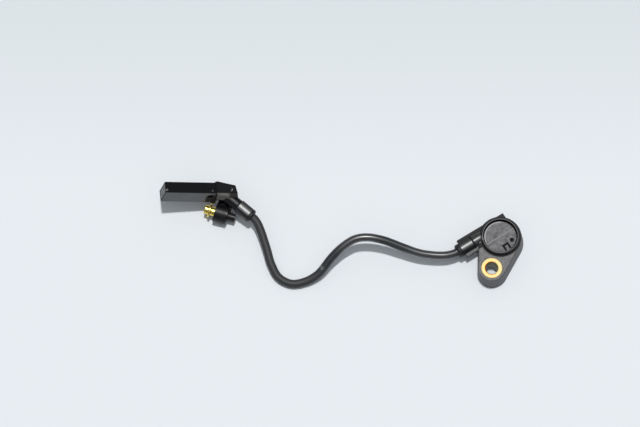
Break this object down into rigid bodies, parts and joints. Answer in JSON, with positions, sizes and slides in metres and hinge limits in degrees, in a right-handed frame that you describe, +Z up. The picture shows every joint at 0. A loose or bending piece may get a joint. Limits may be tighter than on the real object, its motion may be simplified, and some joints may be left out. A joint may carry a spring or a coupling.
{
  "type": "crankshaft position sensor",
  "caption": "Wired crankshaft position sensor: a bar-shaped sensing probe with a bushed fixing lug, joined by a short cable to a round flanged connection head.",
  "frame": {"origin": "on the axis of the flange bush, at the seating face of the head", "axes": "+Z up along the flange bush, away from the seating face; +X from the probe to the head; +Y from the flange bush to the round rim"},
  "size_m": [0.1958, 0.0557, 0.0228],
  "materials": {
    "housing_plastic": "moulded glass-filled polyamide, dark grey, fine grain",
    "lid_plastic": "moulded grey plastic, satin",
    "seal_rubber": "smooth black rubber",
    "brass": "turned brass, bright",
    "contact_metal": "plated copper alloy",
    "core_insulation": "extruded insulation",
    "sleeve_plastic": "moulded black plastic, satin",
    "jacket": "extruded black jacket, satin",
    "tinned_metal": "tinned copper",
    "magnet": "sintered magnet, plain",
    "element_plastic": "moulded black package",
    "carrier_plastic": "moulded black polyamide, satin",
    "cover_plastic": "moulded black plastic, glossy"
  },
  "bodies": {
    "root": {"head_housing": "housing_plastic", "head_lid": "lid_plastic", "lid_seal": "seal_rubber", "flange_bush": "brass", "seat_seal": "seal_rubber", "contact_pins": "contact_metal", "head_cores": "core_insulation", "head_sleeve": "sleeve_plastic", "cable": "jacket", "probe_sleeve": "sleeve_plastic", "probe_cores": "core_insulation", "core_crimps": "tinned_metal", "lead_strips": "contact_metal", "bias_magnet": "magnet", "hall_element": "element_plastic", "probe_block": "carrier_plastic", "probe_cover": "cover_plastic", "lug_bush": "brass", "fill_plug": "carrier_plastic"}
  },
  "joints": []
}
